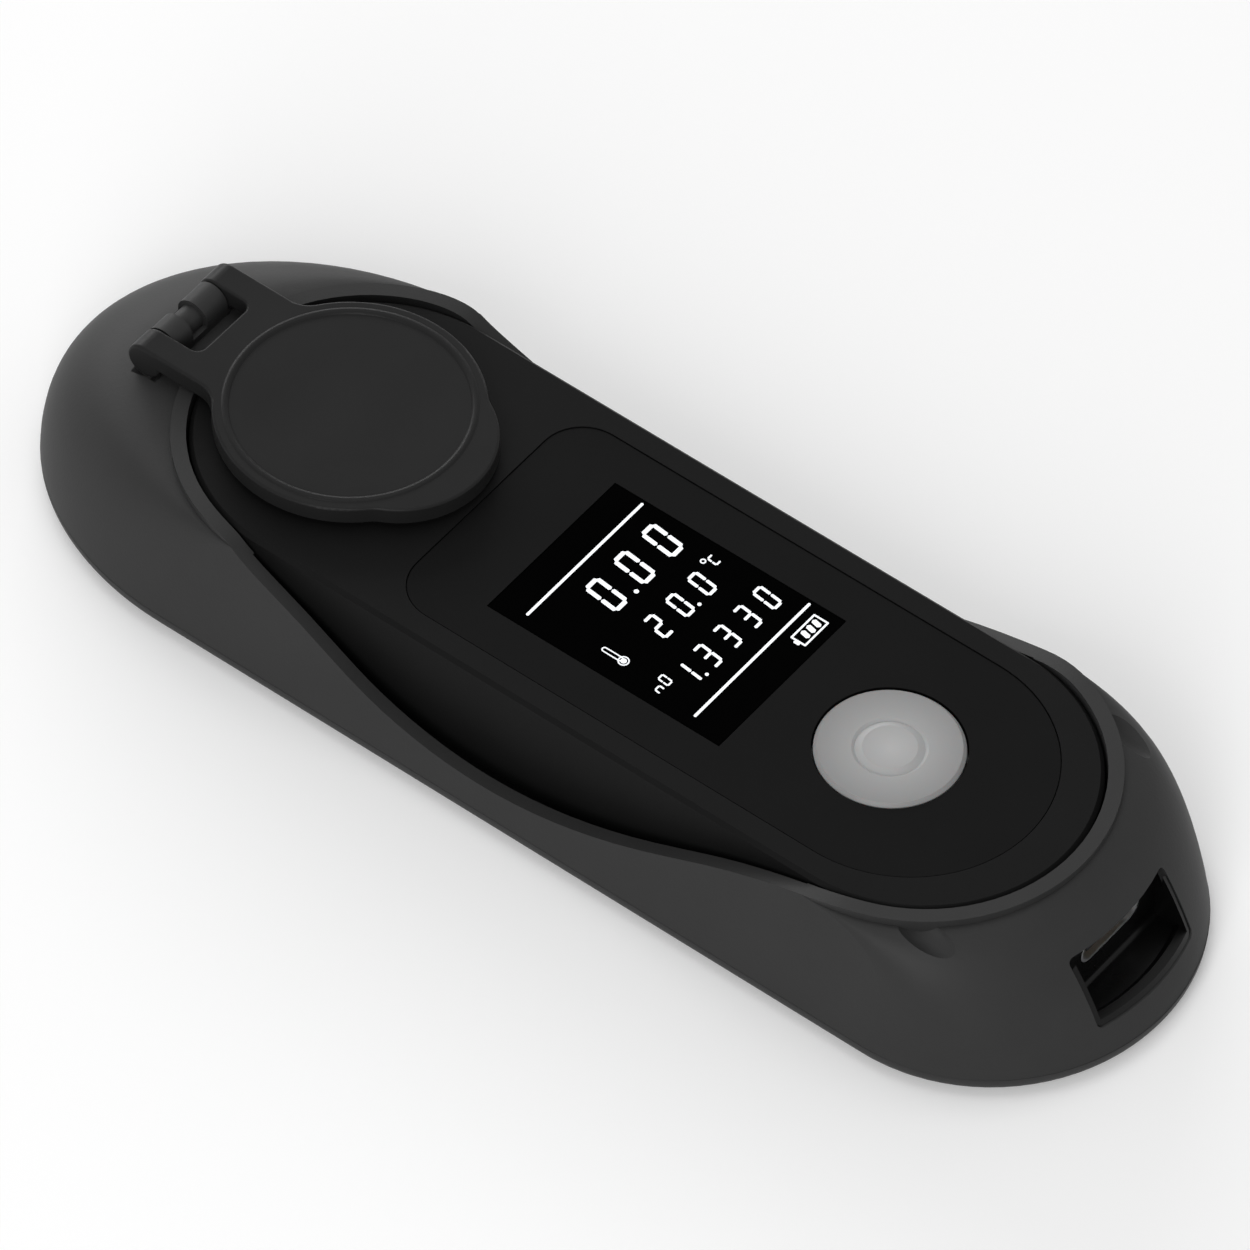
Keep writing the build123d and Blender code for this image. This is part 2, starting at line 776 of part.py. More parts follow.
def optical_block():
    disc = rod_z(block_disc_radius, block_disc_under, well_under, 0, well_y)
    slope = math.tan(math.radians(ray_angle))
    foot = block_half_length - (block_knee - block_under) * slope
    body = disc + across([
        (well_y - block_half_length, block_disc_under),
        (well_y + block_half_length, block_disc_under),
        (well_y + block_half_length, block_knee),
        (well_y + foot, block_under),
        (well_y - foot, block_under),
        (well_y - block_half_length, block_knee),
    ], block_half_width)
    body -= across(prism_outline(0.1), prism_half + 0.1)
    for side in (-1, 1):
        body -= ray_frame(side, 4.0) * Cylinder(bore_radius, 8.2)
    body -= ray_frame(1, 0.6) * Box(8.4, 3.0, 1.4)
    for x, y in optics_screw_places():
        body -= rod_z(optics_screw_radius + 0.05, block_disc_under, well_under, x, y)
    return body - rod_z(thermistor_radius + 0.05, block_disc_under, well_under, thermistor_x, well_y)


def head_board(side):
    length = (block_knee - block_under) / math.cos(math.radians(ray_angle)) + 0.2
    board = ray_frame(side, -head_board_thickness / 2) * Box(head_board_width, length, head_board_thickness)
    return board - box_between((-base_half_width, 0, 0), (base_half_width, far_tip, flex_top))


def lamp_board():
    return head_board(-1)


def sensor_board():
    return head_board(1)


def lamp():
    body = ray_frame(-1, 1.2) * Cylinder(1.5, 2.4)
    return body + ray_frame(-1, 2.4) * Sphere(1.5)


def image_sensor():
    return ray_frame(1, 0.6) * Box(8.0, 2.6, 1.2)


def lens():
    """Plano-convex lens in the bore, flat side to the sensor."""
    ball_radius = 3.0
    flat = ray_frame(1, 3.0) * Cylinder(bore_radius, 0.8)
    reach = math.sqrt(ball_radius ** 2 - bore_radius ** 2)
    dome = ray_frame(1, 3.4 - reach) * Sphere(ball_radius)
    dome &= ray_frame(1, 3.4 + 0.5) * Cylinder(bore_radius, 1.0)
    return flat + dome


def sensor_flex():
    """Flat cable from both head boards, under the block and up to the main board."""
    reach = block_half_length - (block_knee - block_under) * math.tan(math.radians(ray_angle)) + 1.2
    start = board_far - 0.6
    run = box_between((-flex_half_width, start, flex_bottom), (flex_half_width, well_y + reach, flex_top))
    rise = box_between((-flex_half_width, start, flex_bottom),
                       (flex_half_width, start + flex_thickness, board_under))
    return run + rise


def temperature_sensor():
    bead = rod_z(thermistor_radius, block_disc_under - 0.6, well_under, thermistor_x, well_y)
    return chamfer(bead.edges().group_by(Axis.Z)[0], 0.4)


def lid_outline():
    """Disc with finger tab towards the screen and a slotted hinge plate at the back."""
    disc = Pos(0, well_y) * Circle(lid_radius)
    tab = Pos(0, well_y - tab_reach + tab_radius) * Circle(tab_radius)
    plate_start = well_y + arm_outer
    hinge_plate = Pos(0, (plate_start + hinge_y) / 2) * Rectangle(2 * arm_outer, hinge_y - plate_start)
    outline = disc + tab
    outline += hinge_plate
    inner_corners = [v for v in outline.vertices() if abs(v.X) > 1 and v.Y < hinge_y - 1]
    outline = fillet(inner_corners, 3.0)
    slot_length = hinge_y - slot_front + 1
    slot = Pos(0, slot_front + slot_length / 2) * Rectangle(2 * arm_inner, slot_length)
    slot = fillet(slot.vertices().group_by(Axis.Y)[0], 1.0)
    return outline - slot


def lid():
    plate_solid = Pos(0, 0, lid_under) * extrude(lid_outline(), lid_top - lid_under)
    upper_face = plate_solid.faces().sort_by(Axis.Z)[-1]
    soft_edges = [edge for edge in upper_face.edges() if edge.center().Y < hinge_y - 0.1]
    plate_solid = fillet(soft_edges, lid_edge_round)
    bead = Pos(0, well_y, lid_top - bead_sink) * Torus(bead_radius, bead_section)
    body = plate_solid + bead
    body -= rod_z(bead_radius, lid_top - 0.1, lid_top + 1, 0, well_y) - bead
    for side in (-1, 1):
        low, high = sorted((side * arm_inner, side * arm_outer))
        ear = rod_x(ear_radius, low, high, hinge_y, hinge_level)
        body += fillet(ear.edges().filter_by(GeomType.CIRCLE), lid_edge_round)
        hole_low, hole_high = sorted((side * (arm_inner - 1), side * (pin_half_length + 0.1)))
        body -= rod_x(pin_radius + 0.05, hole_low, hole_high, hinge_y, hinge_level)
    return body - lid_seal()


def lid_seal():
    """Flat ring let into the lid's underside, resting on the well's collar."""
    top = lid_under + seal_seat
    return rod_z(seal_outer, collar_top, top, 0, well_y) - rod_z(seal_inner, collar_top, top, 0, well_y)


def hinge_pin():
    return rod_x(pin_radius, -pin_half_length, pin_half_length, hinge_y, hinge_level)


pieces = [
    outer_shell, upper_case, lower_case, case_gasket, case_screws, board_screws, optics_screws,
    front_membrane, display_window, display_panel, backlight, contact_strips, display_frame,
    button, tact_switch, switch_plunger, main_board, controller_chip,
    usb_socket, usb_tongue, battery, battery_pad, battery_connector, battery_leads,
    sample_well, well_seal, prism, prism_seal, optical_block, lamp_board, lamp,
    sensor_board, image_sensor, lens, sensor_flex, temperature_sensor,
    lid, lid_seal, hinge_pin,
]

os.makedirs("parts", exist_ok=True)
for piece in pieces:
    export_step(piece(), f"parts/{piece.__name__}.step")
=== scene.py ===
import math
import bpy
from mathutils import Matrix, Vector


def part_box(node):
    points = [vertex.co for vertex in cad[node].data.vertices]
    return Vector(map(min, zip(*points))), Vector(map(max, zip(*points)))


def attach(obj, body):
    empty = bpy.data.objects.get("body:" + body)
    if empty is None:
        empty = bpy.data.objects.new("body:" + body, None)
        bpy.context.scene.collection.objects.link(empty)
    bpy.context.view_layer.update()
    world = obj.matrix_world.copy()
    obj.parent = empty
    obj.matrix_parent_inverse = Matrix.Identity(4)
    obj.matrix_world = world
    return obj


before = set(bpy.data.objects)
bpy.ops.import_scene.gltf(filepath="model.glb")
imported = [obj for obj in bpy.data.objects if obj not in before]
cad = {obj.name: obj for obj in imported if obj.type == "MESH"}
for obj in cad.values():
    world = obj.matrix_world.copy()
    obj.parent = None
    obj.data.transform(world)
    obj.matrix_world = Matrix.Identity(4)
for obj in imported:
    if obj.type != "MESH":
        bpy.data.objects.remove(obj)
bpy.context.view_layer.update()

bpy.ops.object.select_all(action="DESELECT")


# Tabletop and studio light.
# A pale seamless table under the instrument, a soft white surround, and softboxes left, above and behind.
# The instrument is photographed from the key's end and above, through a long lens.
def linear(hex_colour):
    channels = [int(hex_colour[i:i + 2], 16) / 255 for i in (1, 3, 5)]
    return [c / 12.92 if c <= 0.04045 else ((c + 0.055) / 1.055) ** 2.4 for c in channels] + [1.0]


def wire(tree, kind, settings=None, links=None):
    """Add one node: settings go to its properties or sockets, links join sockets to other nodes' outputs."""
    made = tree.nodes.new(kind)
    for name, value in (settings or {}).items():
        if isinstance(name, str) and hasattr(made, name):
            setattr(made, name, value)
        else:
            made.inputs[name].default_value = value
    for name, (source, output) in (links or {}).items():
        tree.links.new(source.outputs[output], made.inputs[name])
    return made


def blank_material(name):
    made = bpy.data.materials.new(name)
    made.use_nodes = True
    made.node_tree.nodes.clear()
    return made


table_size = 3.0
table_gap = 0.00002
bpy.ops.mesh.primitive_plane_add(size=table_size, location=(0, 0, -table_gap))
table = bpy.context.object
table.name = "table"
bpy.ops.object.select_all(action="DESELECT")


def seen_directly(tree):
    """1 for what is seen straight, in a mirror or through glass, and 0 for light that falls on things."""
    path = wire(tree, "ShaderNodeLightPath")
    straight = wire(tree, "ShaderNodeMath", {"operation": "MAXIMUM"},
                    {0: (path, "Is Camera Ray"), 1: (path, "Is Transmission Ray")})
    return wire(tree, "ShaderNodeMath", {"operation": "MAXIMUM"},
                {0: (straight, "Value"), 1: (path, "Is Glossy Ray")})


table_lift = 0.1
table_paint = blank_material("table_white_laminate")
tree = table_paint.node_tree
lift = wire(tree, "ShaderNodeMapRange", {"To Max": table_lift}, {"Value": (seen_directly(tree), "Value")})
laminate = wire(tree, "ShaderNodeBsdfPrincipled", {
    "Base Color": linear("#f8f8f8"), "Roughness": 0.6, "Specular IOR Level": 0.1,
    "Emission Color": (1.0, 1.0, 1.0, 1.0)}, {"Emission Strength": (lift, "Result")})
wire(tree, "ShaderNodeOutputMaterial", links={"Surface": (laminate, "BSDF")})
table.data.materials.append(table_paint)

surround_light = 0.4
world = bpy.data.worlds.new("studio")
bpy.context.scene.world = world
world.use_nodes = True
world.node_tree.nodes.clear()
tree = world.node_tree
strength = wire(tree, "ShaderNodeMapRange", {"To Min": surround_light, "To Max": 1.0},
                {"Value": (seen_directly(tree), "Value")})
backdrop = wire(tree, "ShaderNodeBackground", {"Color": (1.0, 1.0, 1.0, 1.0)},
                {"Strength": (strength, "Result")})
wire(tree, "ShaderNodeOutputWorld", links={"Surface": (backdrop, "Background")})


def softbox(name, at, size, power):
    lamp = bpy.data.lights.new(name, "AREA")
    lamp.shape = "RECTANGLE"
    lamp.size, lamp.size_y = size
    lamp.energy = power
    holder = bpy.data.objects.new(name, lamp)
    bpy.context.scene.collection.objects.link(holder)
    holder.location = at
    holder.rotation_euler = (-Vector(at)).to_track_quat("-Z", "Y").to_euler()


softbox("softbox_left", at=(-0.95, -0.4, 0.55), size=(0.6, 0.9), power=8.0)
softbox("softbox_above", at=(0.1, 0.1, 1.1), size=(0.7, 0.7), power=2.2)
softbox("strip_behind", at=(0.6, 0.85, 0.35), size=(1.0, 0.3), power=5.5)

azimuth, elevation, roll = (math.radians(angle) for angle in (-53.059, 49.629, 1.296))
aim = Vector((-0.003599, -0.004032, 0.0165))
camera_distance = 1.30235
film_width = 36.0
pixels_per_radian = 13964.9
frame_pixels = 1250
camera_data = bpy.data.cameras.new("camera")
camera = bpy.data.objects.new("camera", camera_data)
bpy.context.scene.collection.objects.link(camera)
bpy.context.scene.camera = camera
away = Vector((math.sin(azimuth), -math.cos(azimuth), 0.0))
back = away * math.cos(elevation) + Vector((0.0, 0.0, math.sin(elevation)))
right = Vector((math.cos(azimuth), math.sin(azimuth), 0.0))
up = back.cross(right)
turned_right = right * math.cos(roll) + up * math.sin(roll)
turned_up = up * math.cos(roll) - right * math.sin(roll)
turn = Matrix((turned_right, turned_up, back)).transposed().to_4x4()
camera.matrix_world = Matrix.Translation(aim + back * camera_distance) @ turn
camera_data.sensor_width = film_width
camera_data.lens = film_width * pixels_per_radian / frame_pixels
camera_data.clip_start, camera_data.clip_end = 0.05, 20.0
bpy.context.scene.view_settings.view_transform = "Standard"


# Tray and its gasket.
# The tray is injection-moulded ABS with a polished cavity, and its near end shows in the charging niche.
# The gasket is a cord of moulded silicone that lies in the tray's groove under the upper case.
def finish(name, tones, pattern, relief=None, roughness=(0.4, 0.5), depth_mm=0.0,
           grain=(1.0, 1.0, 1.0), centre=(0.0, 0.0, 0.0), **skin):
    """Two tones that a pattern mixes, roughness that follows it, and a relief of the given depth."""
    made = blank_material(name)
    tree = made.node_tree
    place = wire(tree, "ShaderNodeTexCoord")
    offset = [-c * g for c, g in zip(centre, grain)]
    laid = wire(tree, "ShaderNodeMapping", {"Scale": grain, "Location": offset},
                {"Vector": (place, "Object")})
    kind, settings, output = pattern
    drawn = wire(tree, kind, settings, {"Vector": (laid, "Vector")})
    colours = wire(tree, "ShaderNodeMix", {"data_type": "RGBA", 6: linear(tones[0]), 7: linear(tones[1])},
                   {0: (drawn, output)})
    rough = wire(tree, "ShaderNodeMapRange", {"To Min": roughness[0], "To Max": roughness[1]},
                 {"Value": (drawn, output)})
    kind, settings, output = relief or pattern
    height = wire(tree, kind, settings, {"Vector": (laid, "Vector")})
    bump = wire(tree, "ShaderNodeBump", {"Strength": 1.0, "Distance": depth_mm / 1000},
                {"Height": (height, output)})
    sockets = {word.replace("_", " "): value for word, value in skin.items()}
    surface = wire(tree, "ShaderNodeBsdfPrincipled", sockets,
                   {"Base Color": (colours, 2), "Roughness": (rough, "Result"), "Normal": (bump, "Normal")})
    wire(tree, "ShaderNodeOutputMaterial", links={"Surface": (surface, "BSDF")})
    return made


def dress(material, *names):
    for name in names:
        cad[name].data.materials.clear()
        cad[name].data.materials.append(material)


# Flow marks are about 10 mm long. Spark erosion leaves pits of 0.05 mm, drawn at 0.35 mm so that they show.
flow_marks = ("ShaderNodeTexNoise", {"Scale": 100.0, "Detail": 3.0, "Roughness": 0.55}, "Fac")
spark_grain = ("ShaderNodeTexNoise", {"Scale": 2860.0, "Detail": 2.0, "Roughness": 0.6}, "Fac")

# Polished black ABS: a deep near-black with clear, slightly wavy reflections.
dress(finish("abs_black_polished", ("#050505", "#080808"), flow_marks, roughness=(0.24, 0.32), depth_mm=0.003,
             Specular_IOR_Level=0.15), "lower_case")

# Moulded silicone: mid grey, soft and matt, a little lighter where it is dusty with talc.
silicone_seal = finish("silicone_grey_moulded", ("#3c3f42", "#4b4e51"), flow_marks, spark_grain,
                       roughness=(0.5, 0.62), depth_mm=0.006, Specular_IOR_Level=0.35)
dress(silicone_seal, "case_gasket", "well_seal", "prism_seal", "lid_seal")


# Battery, pad, connector and leads.
# A lithium pouch cell sealed in aluminium laminate lies on a strip of foam in the tray.
# Its two PVC-covered leads end in a nylon plug under the board.
crumple = ("ShaderNodeTexNoise", {"Scale": 380.0, "Detail": 2.0, "Roughness": 0.5}, "Fac")
foam_cells = ("ShaderNodeTexVoronoi", {"Scale": 2000.0}, "Distance")

# Pouch laminate: bright dull silver with shallow dents where the cell presses through.
dress(finish("aluminium_laminate_pouch", ("#a2a5a9", "#c3c6c9"), crumple, roughness=(0.3, 0.42),
             depth_mm=0.08, Metallic=1.0), "battery")

# Closed-cell foam: dark and quite matt, with 0.5 mm cells.
dress(finish("polyethylene_foam_cut", ("#1c1d1f", "#3a3b3d"), foam_cells, roughness=(0.85, 0.95),
             depth_mm=0.1, Specular_IOR_Level=0.2), "battery_pad")

# Unpigmented nylon: creamy and waxy.
dress(finish("nylon_natural_moulded", ("#ddd6c2", "#e8e2d0"), flow_marks, spark_grain, roughness=(0.38, 0.48),
             depth_mm=0.004, Specular_IOR_Level=0.45), "battery_connector")

# Extruded PVC: one lead red and one black, both with a soft gloss.
lead_jacket = blank_material("pvc_extruded_red_and_black")
tree = lead_jacket.node_tree
place = wire(tree, "ShaderNodeTexCoord")
sides = wire(tree, "ShaderNodeSeparateXYZ", links={"Vector": (place, "Object")})
red_side = wire(tree, "ShaderNodeMath", {"operation": "GREATER_THAN", 1: 0.0}, {0: (sides, "X")})
scuffs = wire(tree, "ShaderNodeTexNoise", {"Scale": 600.0, "Detail": 2.0}, {"Vector": (place, "Object")})
jacket_colour = wire(tree, "ShaderNodeMix", {"data_type": "RGBA", 6: linear("#121213"), 7: linear("#a81d1a")},
                     {0: (red_side, "Value")})
scuffed = wire(tree, "ShaderNodeMapRange", {"To Min": 0.3, "To Max": 0.45}, {"Value": (scuffs, "Fac")})
jacket = wire(tree, "ShaderNodeBsdfPrincipled", {"Specular IOR Level": 0.5},
              {"Base Color": (jacket_colour, 2), "Roughness": (scuffed, "Result")})
wire(tree, "ShaderNodeOutputMaterial", links={"Surface": (jacket, "BSDF")})
dress(lead_jacket, "battery_leads")


# Circuit boards and what is soldered to them.
# Glass-epoxy boards under green solder mask carry the controller, the image sensor and the key's switch.
# The main board is screwed to the upper case, and two small boards stand in the measuring head.
# Copper tracks run 1.6 mm apart under the mask, a little lighter than the bare laminate between them.
copper_tracks = ("ShaderNodeTexBrick", {"Scale": 1.0, "Mortar Size": 0.00018, "Mortar Smooth": 0.1,
                                        "Brick Width": 0.0052, "Row Height": 0.0016}, "Fac")
dress(finish("fr4_green_solder_mask", ("#0f3d22", "#1f6b3a"), copper_tracks, roughness=(0.3, 0.36),
             depth_mm=0.03, Specular_IOR_Level=0.5), "main_board", "lamp_board", "sensor_board")

# Epoxy moulding compound: dark grey, fine and dry-looking.
dress(finish("epoxy_mould_compound", ("#18191a", "#212223"), spark_grain, roughness=(0.55, 0.65),
             depth_mm=0.008, Specular_IOR_Level=0.35), "controller_chip", "image_sensor")

# Glass-filled nylon of the switch: black with a dull sheen.
dress(finish("nylon_black_moulded", ("#151516", "#1c1c1d"), flow_marks, spark_grain, roughness=(0.45, 0.55),
             depth_mm=0.006, Specular_IOR_Level=0.4), "tact_switch")

# Acetal: opaque white, slippery and slightly glossy.
dress(finish("acetal_white_moulded", ("#d9dad8", "#e4e5e3"), flow_marks, roughness=(0.28, 0.36),
             depth_mm=0.002, Specular_IOR_Level=0.5), "switch_plunger")


# Charging socket.
# A deep-drawn stainless shell holds a black tongue, whose gold-plated contacts lie flush along both faces.
# It is soldered to the near end of the board, and its mouth stands in the charging niche.
# Drawing leaves fine streaks along the socket, and the metal stays bright.
drawn_streaks = ("ShaderNodeTexNoise", {"Scale": 2500.0, "Detail": 2.0, "Roughness": 0.6}, "Fac")
dress(finish("stainless_steel_drawn", ("#cfd0d1", "#e4e5e6"), drawn_streaks, roughness=(0.3, 0.4),
             depth_mm=0.002, grain=(1.0, 0.05, 1.0), Metallic=1.0), "usb_socket")
dress(finish("liquid_crystal_polymer_black", ("#101011", "#161617"), flow_marks, spark_grain,
             roughness=(0.45, 0.55), depth_mm=0.004, Specular_IOR_Level=0.4), "usb_tongue")

contact_width, contact_length, contact_proud = 0.00025, 0.0036, 0.00002
contact_pitch = 0.0005
contacts_per_face = 12
tongue_low, tongue_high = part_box("usb_tongue")
blade_middle = (tongue_low.z + tongue_high.z) / 2
blade_half_thickness = 0.00035
contact_setback = 0.0003


def select_points(piece, wanted):
    """Select the vertices that the test wants, from edit mode."""
    bpy.ops.mesh.select_all(action="DESELECT")
    bpy.ops.object.mode_set(mode="OBJECT")
    for point in piece.data.vertices:
        point.select = wanted(point.co)
    bpy.ops.object.mode_set(mode="EDIT")
    bpy.ops.mesh.select_mode(type="VERT")


def join_pieces(pieces, name):
    """One mesh of several, with its place in the mesh."""
    bpy.ops.object.select_all(action="DESELECT")
    for piece in pieces:
        piece.select_set(True)
    bpy.context.view_layer.objects.active = pieces[0]
    bpy.ops.object.join()
    bpy.ops.object.transform_apply(location=True, rotation=True, scale=True)
    joined = bpy.context.object
    joined.name = name
    bpy.ops.object.select_all(action="DESELECT")
    return joined


def copy_to(piece, place, turned=0.0):
    """A copy with a mesh of its own, turned about Z and set at its place."""
    twin = piece.copy()
    twin.data = piece.data.copy()
    bpy.context.scene.collection.objects.link(twin)
    twin.location = place
    twin.rotation_euler = (0.0, 0.0, turned)
    return twin


bpy.ops.mesh.primitive_plane_add(size=contact_width)
contact = bpy.context.object
bpy.ops.object.mode_set(mode="EDIT")
select_points(contact, lambda point: point.y > 0)
bpy.ops.transform.translate(value=(0, contact_length - contact_width, 0))
bpy.ops.mesh.select_all(action="SELECT")
bpy.ops.mesh.extrude_region_move(TRANSFORM_OT_translate={"value": (0, 0, contact_proud * 2)})
bpy.ops.mesh.select_all(action="SELECT")
bpy.ops.mesh.normals_make_consistent(inside=False)
bpy.ops.object.mode_set(mode="OBJECT")
contact_row = [(number - (contacts_per_face - 1) / 2) * contact_pitch for number in range(contacts_per_face)]
contact_levels = [blade_middle + side * blade_half_thickness - contact_proud for side in (1, -1)]
contact_front = tongue_low.y + contact_setback
copies = [copy_to(contact, (x, contact_front, level)) for x in contact_row for level in contact_levels]
bpy.data.objects.remove(contact)
contacts = join_pieces(copies, "usb_contacts")

# Gold over nickel: warm and bright, rubbed along the plug's path.
contacts.data.materials.append(finish(
    "gold_plated_contacts", ("#d6a84c", "#e8c273"), drawn_streaks, roughness=(0.2, 0.3), depth_mm=0.001,
    grain=(1.0, 0.05, 1.0), Metallic=1.0))
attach(contacts, "housing")


# Display stack under the window.
# A liquid-crystal panel stands on a polycarbonate frame over an acrylic light guide.
# Two strips of striped conductive rubber carry its signals up from the board.
light_dots = ("ShaderNodeTexVoronoi", {"Scale": 1250.0, "Randomness": 0.0}, "Distance")
rubber_stripes = ("ShaderNodeTexWave", {"wave_type": "BANDS", "bands_direction": "Y", "Scale": 1571.0}, "Fac")

# Light guide: clear, milky-white acrylic with printed dots 0.8 mm apart.
dress(finish("acrylic_light_guide", ("#f4f6f7", "#dfe5e9"), light_dots, roughness=(0.1, 0.2), depth_mm=0.01,
             Transmission_Weight=0.35, IOR=1.49), "backlight")

# Conductive rubber: black and white layers, each 0.1 mm, across the strip.
dress(finish("silicone_layered_conductive", ("#101011", "#b9b6ad"), rubber_stripes, roughness=(0.6, 0.7),
             Specular_IOR_Level=0.3), "contact_strips")

# Polycarbonate frame: white, so that it throws the light back.
dress(finish("polycarbonate_white_moulded", ("#d3d5d6", "#dee0e1"), flow_marks, spark_grain,
             roughness=(0.35, 0.45), depth_mm=0.004, Specular_IOR_Level=0.5), "display_frame")

# Display glass: grey-green, flat and clear, with the faint mottle of its polariser.
dress(finish("lcd_glass_polished", ("#343b38", "#3b433f"), flow_marks, roughness=(0.04, 0.08),
             Specular_IOR_Level=0.5, IOR=1.52), "display_panel")


# Upper case, window and front foil.
# The upper case is black ABS with a fine tool texture on its flat top, closed by screws from below.
# The foil is black-printed polyester glued in a shallow seat, and the window is acrylic blacked from behind.
dress(finish("abs_black_fine_texture", ("#0f0f0f", "#141414"), flow_marks, spark_grain,
             roughness=(0.46, 0.54), depth_mm=0.008, Specular_IOR_Level=0.05), "upper_case")

# Printed film: charcoal, satin, with a faint orange peel 0.7 mm across.
orange_peel = ("ShaderNodeTexNoise", {"Scale": 1400.0, "Detail": 1.0, "Roughness": 0.5}, "Fac")
dress(finish("polyester_film_satin", ("#0b0b0b", "#0f0f0f"), flow_marks, orange_peel, roughness=(0.38, 0.46),
             depth_mm=0.002, Specular_IOR_Level=0.045), "front_membrane")

# Blacked acrylic: ink black with hardly a reflection from above.
dress(finish("acrylic_back_printed_black", ("#000000", "#010101"), flow_marks, roughness=(0.08, 0.12),
             Specular_IOR_Level=0.008), "display_window")


# Reading on the display.
# Lit segments between two rules: the measured value, the temperature and the refractive index.
# They are drawn as thin bars on the window, as the eye sees them through its clear front.

# Sizes and places here are millimetres, and places count from the middle of the screen.
mm = 0.001
ink_height = 0.02
ink_clearance = 0.01
pointed_ends = 6
round_ends = 24
window_low, window_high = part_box("display_window")
screen_middle = Vector(((window_low.x + window_high.x) / 2, (window_low.y + window_high.y) / 2,
                        window_high.z + ink_clearance * mm))


def ink(length, width, corners, line=0.0):
    """A stroke along Y from a circle pulled apart; with a line width it is an outline and not filled."""
    radius = width / (2 * math.cos(math.pi / corners))
    waist = 1e-7
    bpy.ops.mesh.primitive_circle_add(vertices=corners, radius=radius * mm, fill_type="NGON")
    stroke = bpy.context.object
    bpy.ops.object.mode_set(mode="EDIT")
    for side in (1, -1):
        select_points(stroke, lambda point: point.y * side > waist)
        bpy.ops.transform.translate(value=(0, side * (length / 2 - radius) * mm, 0))
    if line:
        bpy.ops.mesh.select_mode(type="FACE")
        bpy.ops.mesh.select_all(action="SELECT")
        bpy.ops.mesh.inset(thickness=line * mm)
        bpy.ops.mesh.delete(type="FACE")
    bpy.ops.mesh.select_all(action="SELECT")
    bpy.ops.mesh.extrude_region_move(TRANSFORM_OT_translate={"value": (0, 0, ink_height * mm)})
    bpy.ops.mesh.select_all(action="SELECT")
    bpy.ops.mesh.normals_make_consistent(inside=False)
    bpy.ops.object.mode_set(mode="OBJECT")
    return stroke


def on_screen(x, y):
    return screen_middle + Vector((x * mm, y * mm, 0.0))


def put(stroke, x, y, turned=0.0):
    stroke.location = on_screen(x, y)
    stroke.rotation_euler = (0.0, 0.0, turned)
    return stroke


# Each segment of a character: place across and up, as shares of its box, and whether it stands upright.
segment_places = {
    "a": (0.5, 1.0, False), "g": (0.5, 0.5, False), "d": (0.5, 0.0, False),
    "f": (0.0, 0.75, True), "b": (1.0, 0.75, True), "e": (0.0, 0.25, True), "c": (1.0, 0.25, True)}
lit_segments = {"0": "abcdef", "1": "bc", "2": "abged", "3": "abgcd", "C": "adef", "n": "ceg", "D": "abcdef"}
join_share = 0.2


def write_row(characters, lefts, bottom, width, height, stroke, lean):
    """Segment characters of one size; lean is how far the top stands to the right of the foot."""
    across, rise = width - stroke, height - stroke
    join_gap = join_share * stroke
    level_bar = ink(across - join_gap, stroke, pointed_ends)
    upright_bar = ink(rise / 2 - join_gap, stroke, pointed_ends)
    bars = []
    for character, left in zip(characters, lefts):
        for segment in lit_segments[character]:
            share_across, share_up, upright = segment_places[segment]
            x = left + stroke / 2 + across * share_across + lean * share_up
            place = on_screen(x, bottom + stroke / 2 + rise * share_up)
            if upright:
                bars.append(copy_to(upright_bar, place, -math.atan2(lean, rise)))
            else:
                bars.append(copy_to(level_bar, place, math.pi / 2))
    bpy.data.objects.remove(level_bar)
    bpy.data.objects.remove(upright_bar)
    return bars


# Characters, from the large row of the measured value to the small signs beside the lower rows.
readout = write_row("000", lefts=(-2.92, 1.37, 5.62), bottom=3.65, width=2.05, height=4.3,
                    stroke=0.46, lean=0.4)
readout += write_row("200", lefts=(-2.61, 0.7, 4.05), bottom=-1.9, width=1.5, height=3.05,
                     stroke=0.34, lean=0.3)
readout += write_row("13330", lefts=(-5.6, -2.55, 0.48, 3.54, 6.53), bottom=-7.7, width=1.4, height=3.05,
                     stroke=0.32, lean=0.3)
readout += write_row("C", lefts=(7.5,), bottom=-0.1, width=0.85, height=1.3, stroke=0.2, lean=0.1)
readout += write_row("nD", lefts=(-8.2, -7.0), bottom=-5.6, width=0.85, height=1.4, stroke=0.18, lean=0.1)

# Decimal points by place and size, and the ring of the degree sign.
decimal_points = ((0.36, 3.85, 0.5), (2.79, -1.72, 0.4), (-3.55, -7.5, 0.38))
for x, y, size in decimal_points:
    readout.append(put(ink(size, size, round_ends), x, y))
degree_ring, degree_line, degree_x, degree_y = 0.62, 0.14, 7.2, 1.26
readout.append(put(ink(degree_ring, degree_ring, round_ends, degree_line), degree_x, degree_y))

# Rules above and below the rows.
rule_left, rule_right, rule_width = -8.36, 9.35, 0.3
rule_levels = (10.05, -9.73)
for rule_y in rule_levels:
    rule = ink(rule_right - rule_left, rule_width, pointed_ends)
    readout.append(put(rule, (rule_left + rule_right) / 2, rule_y, math.pi / 2))

# Thermometer: an outlined stem, and a filled bulb in a ring.
stem_x, stem_top, stem_width, bulb_y = -7.1, 2.0, 0.62, -0.45
stem_raise = 0.1
bulb_ring, thin_line = 1.15, 0.13
stem = ink(stem_top - bulb_y, stem_width, round_ends, thin_line)
readout.append(put(stem, stem_x, (stem_top + bulb_y) / 2 + stem_raise))
readout.append(put(ink(stem_width, stem_width, round_ends), stem_x, bulb_y))
readout.append(put(ink(bulb_ring, bulb_ring, round_ends, thin_line), stem_x, bulb_y))

